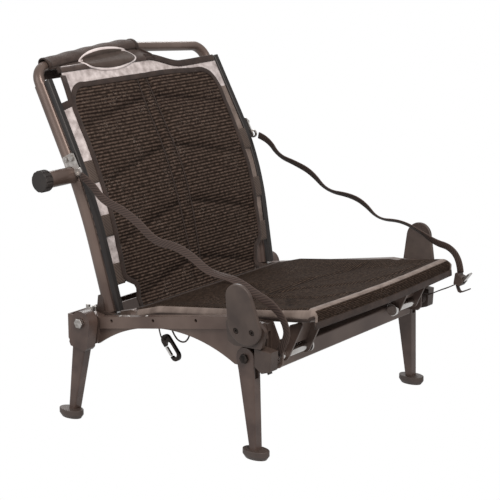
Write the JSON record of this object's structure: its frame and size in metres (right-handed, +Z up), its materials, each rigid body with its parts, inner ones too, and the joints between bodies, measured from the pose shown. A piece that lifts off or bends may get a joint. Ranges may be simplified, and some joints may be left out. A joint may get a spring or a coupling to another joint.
{
  "type": "kayak seat",
  "caption": "Folding framed kayak seat with mesh sling seat and back, recline straps, lumbar dial and fold-out legs.",
  "frame": {"origin": "middle of the outer box on the ground, free straps and cords left out", "axes": "+X to the sitter's left, the sitter faces -Y, +Z up"},
  "size_m": [0.6405, 0.6598, 0.6537],
  "materials": {
    "frame_aluminium": "anodised brown-grey satin",
    "moulded_plastic": "moulded brown-grey",
    "dark_plastic": "moulded near-black",
    "bright_steel": "bright zinc or polished",
    "plate_aluminium": "bare satin",
    "mesh_fabric": "rib-woven dark brown sling mesh",
    "light_fabric": "light grey-lilac woven border",
    "webbing": "dark brown webbing"
  },
  "bodies": {
    "base": {"cam_buckle": "moulded_plastic", "clip_cord": "webbing", "cord_loop": "webbing", "corner_block_left": "moulded_plastic", "corner_block_right": "moulded_plastic", "front_crossbar": "frame_aluminium", "front_leg_bolts": "bright_steel", "front_pin_left": "bright_steel", "front_pin_right": "bright_steel", "paddle_bracket_left": "moulded_plastic", "paddle_bracket_right": "moulded_plastic", "paddle_left": "moulded_plastic", "paddle_right": "moulded_plastic", "paddle_screws": "bright_steel", "pin_housing_left": "moulded_plastic", "pin_housing_right": "moulded_plastic", "pin_loop_left": "webbing", "pin_loop_right": "webbing", "pivot_bolts": "bright_steel", "rear_crossbar": "frame_aluminium", "seat_hinge_bracket_left": "moulded_plastic", "seat_hinge_bracket_right": "moulded_plastic", "side_rail_left": "frame_aluminium", "side_rail_right": "frame_aluminium", "strap_left": "webbing", "strap_right": "webbing", "strap_tail_left": "webbing", "wing_nuts": "bright_steel"},
    "backrest": {"back_upright_left": "frame_aluminium", "back_upright_right": "frame_aluminium", "recline_lug_left": "moulded_plastic", "recline_lug_right": "moulded_plastic", "top_bow": "frame_aluminium", "top_sleeve": "light_fabric", "back_mesh": "mesh_fabric", "tension_bands": "webbing", "dial_housing": "frame_aluminium", "strap_anchor_left": "plate_aluminium", "strap_anchor_right": "plate_aluminium", "anchor_bolts": "bright_steel"},
    "lumbar_dial": {"dial_knob": "dark_plastic", "lumbar_roller": "plate_aluminium"},
    "seat": {"seat_frame": "frame_aluminium", "seat_rear_tube": "frame_aluminium", "seat_mesh": "mesh_fabric"},
    "prop_left": {"prop_bracket_left": "frame_aluminium"},
    "prop_right": {"prop_bracket_right": "frame_aluminium"},
    "front_leg_left": {"front_leg_left": "frame_aluminium", "front_foot_left": "dark_plastic"},
    "front_leg_right": {"front_leg_right": "frame_aluminium", "front_foot_right": "dark_plastic"},
    "rear_leg_left": {"rear_leg_left": "frame_aluminium", "rear_foot_left": "dark_plastic"},
    "rear_leg_right": {"rear_leg_right": "frame_aluminium", "rear_foot_right": "dark_plastic"},
    "buckle_lever": {"cam_lever": "bright_steel"},
    "clip": {"snap_clip": "bright_steel"},
    "gate": {"clip_gate": "bright_steel"}
  },
  "joints": [
    {"name": "recline", "type": "hinge", "parent": "base", "child": "backrest", "pos_m": [0.01775, 0.1571, 0.184], "axis": [1, 0, 0], "range_deg": [-10, 45], "deforming": ["strap_left", "strap_right"]},
    {"name": "lumbar_dial_turn", "type": "hinge", "parent": "backrest", "child": "lumbar_dial", "pos_m": [-0.28225, 0.2021, 0.443], "axis": [1, 0, 0], "continuous": true},
    {"name": "seat_tilt", "type": "hinge", "parent": "base", "child": "seat", "pos_m": [0.01775, 0.0971, 0.19], "axis": [1, 0, 0], "range_deg": [0, 5]},
    {"name": "prop_left_fold", "type": "hinge", "parent": "base", "child": "prop_left", "pos_m": [0.19475, -0.2329, 0.178], "axis": [1, 0, 0], "range_deg": [0, 60]},
    {"name": "prop_right_fold", "type": "hinge", "parent": "base", "child": "prop_right", "pos_m": [-0.15925, -0.2329, 0.178], "axis": [1, 0, 0], "range_deg": [0, 60]},
    {"name": "front_leg_left_fold", "type": "hinge", "parent": "base", "child": "front_leg_left", "pos_m": [0.27175, -0.1909, 0.176], "axis": [1, 0, 0], "range_deg": [0, 90]},
    {"name": "front_leg_right_fold", "type": "hinge", "parent": "base", "child": "front_leg_right", "pos_m": [-0.23625, -0.1909, 0.176], "axis": [1, 0, 0], "range_deg": [0, 90]},
    {"name": "rear_leg_left_fold", "type": "hinge", "parent": "base", "child": "rear_leg_left", "pos_m": [0.29725, 0.1571, 0.184], "axis": [1, 0, 0], "range_deg": [-105, 0]},
    {"name": "rear_leg_right_fold", "type": "hinge", "parent": "base", "child": "rear_leg_right", "pos_m": [-0.26175, 0.1571, 0.184], "axis": [1, 0, 0], "range_deg": [-105, 0]},
    {"name": "buckle_lever_lift", "type": "hinge", "parent": "base", "child": "buckle_lever", "pos_m": [0.25775, -0.3239, 0.227], "axis": [1, 0, 0], "range_deg": [-12, 45]},
    {"name": "clip_swing", "type": "hinge", "parent": "base", "child": "clip", "pos_m": [-0.20825, 0.0122, 0.1654], "axis": [1, 0, 0], "range_deg": [-20, 60]},
    {"name": "clip_gate_open", "type": "hinge", "parent": "clip", "child": "gate", "pos_m": [-0.20825, -0.0003, 0.1374], "axis": [1, 0, 0], "range_deg": [0, 22], "stiffness_Nm_per_rad": 0.01}
  ],
  "couplings": [
    {"joint": "prop_left_fold", "follows": "seat_tilt", "ratio": 12},
    {"joint": "prop_right_fold", "follows": "seat_tilt", "ratio": 12}
  ]
}
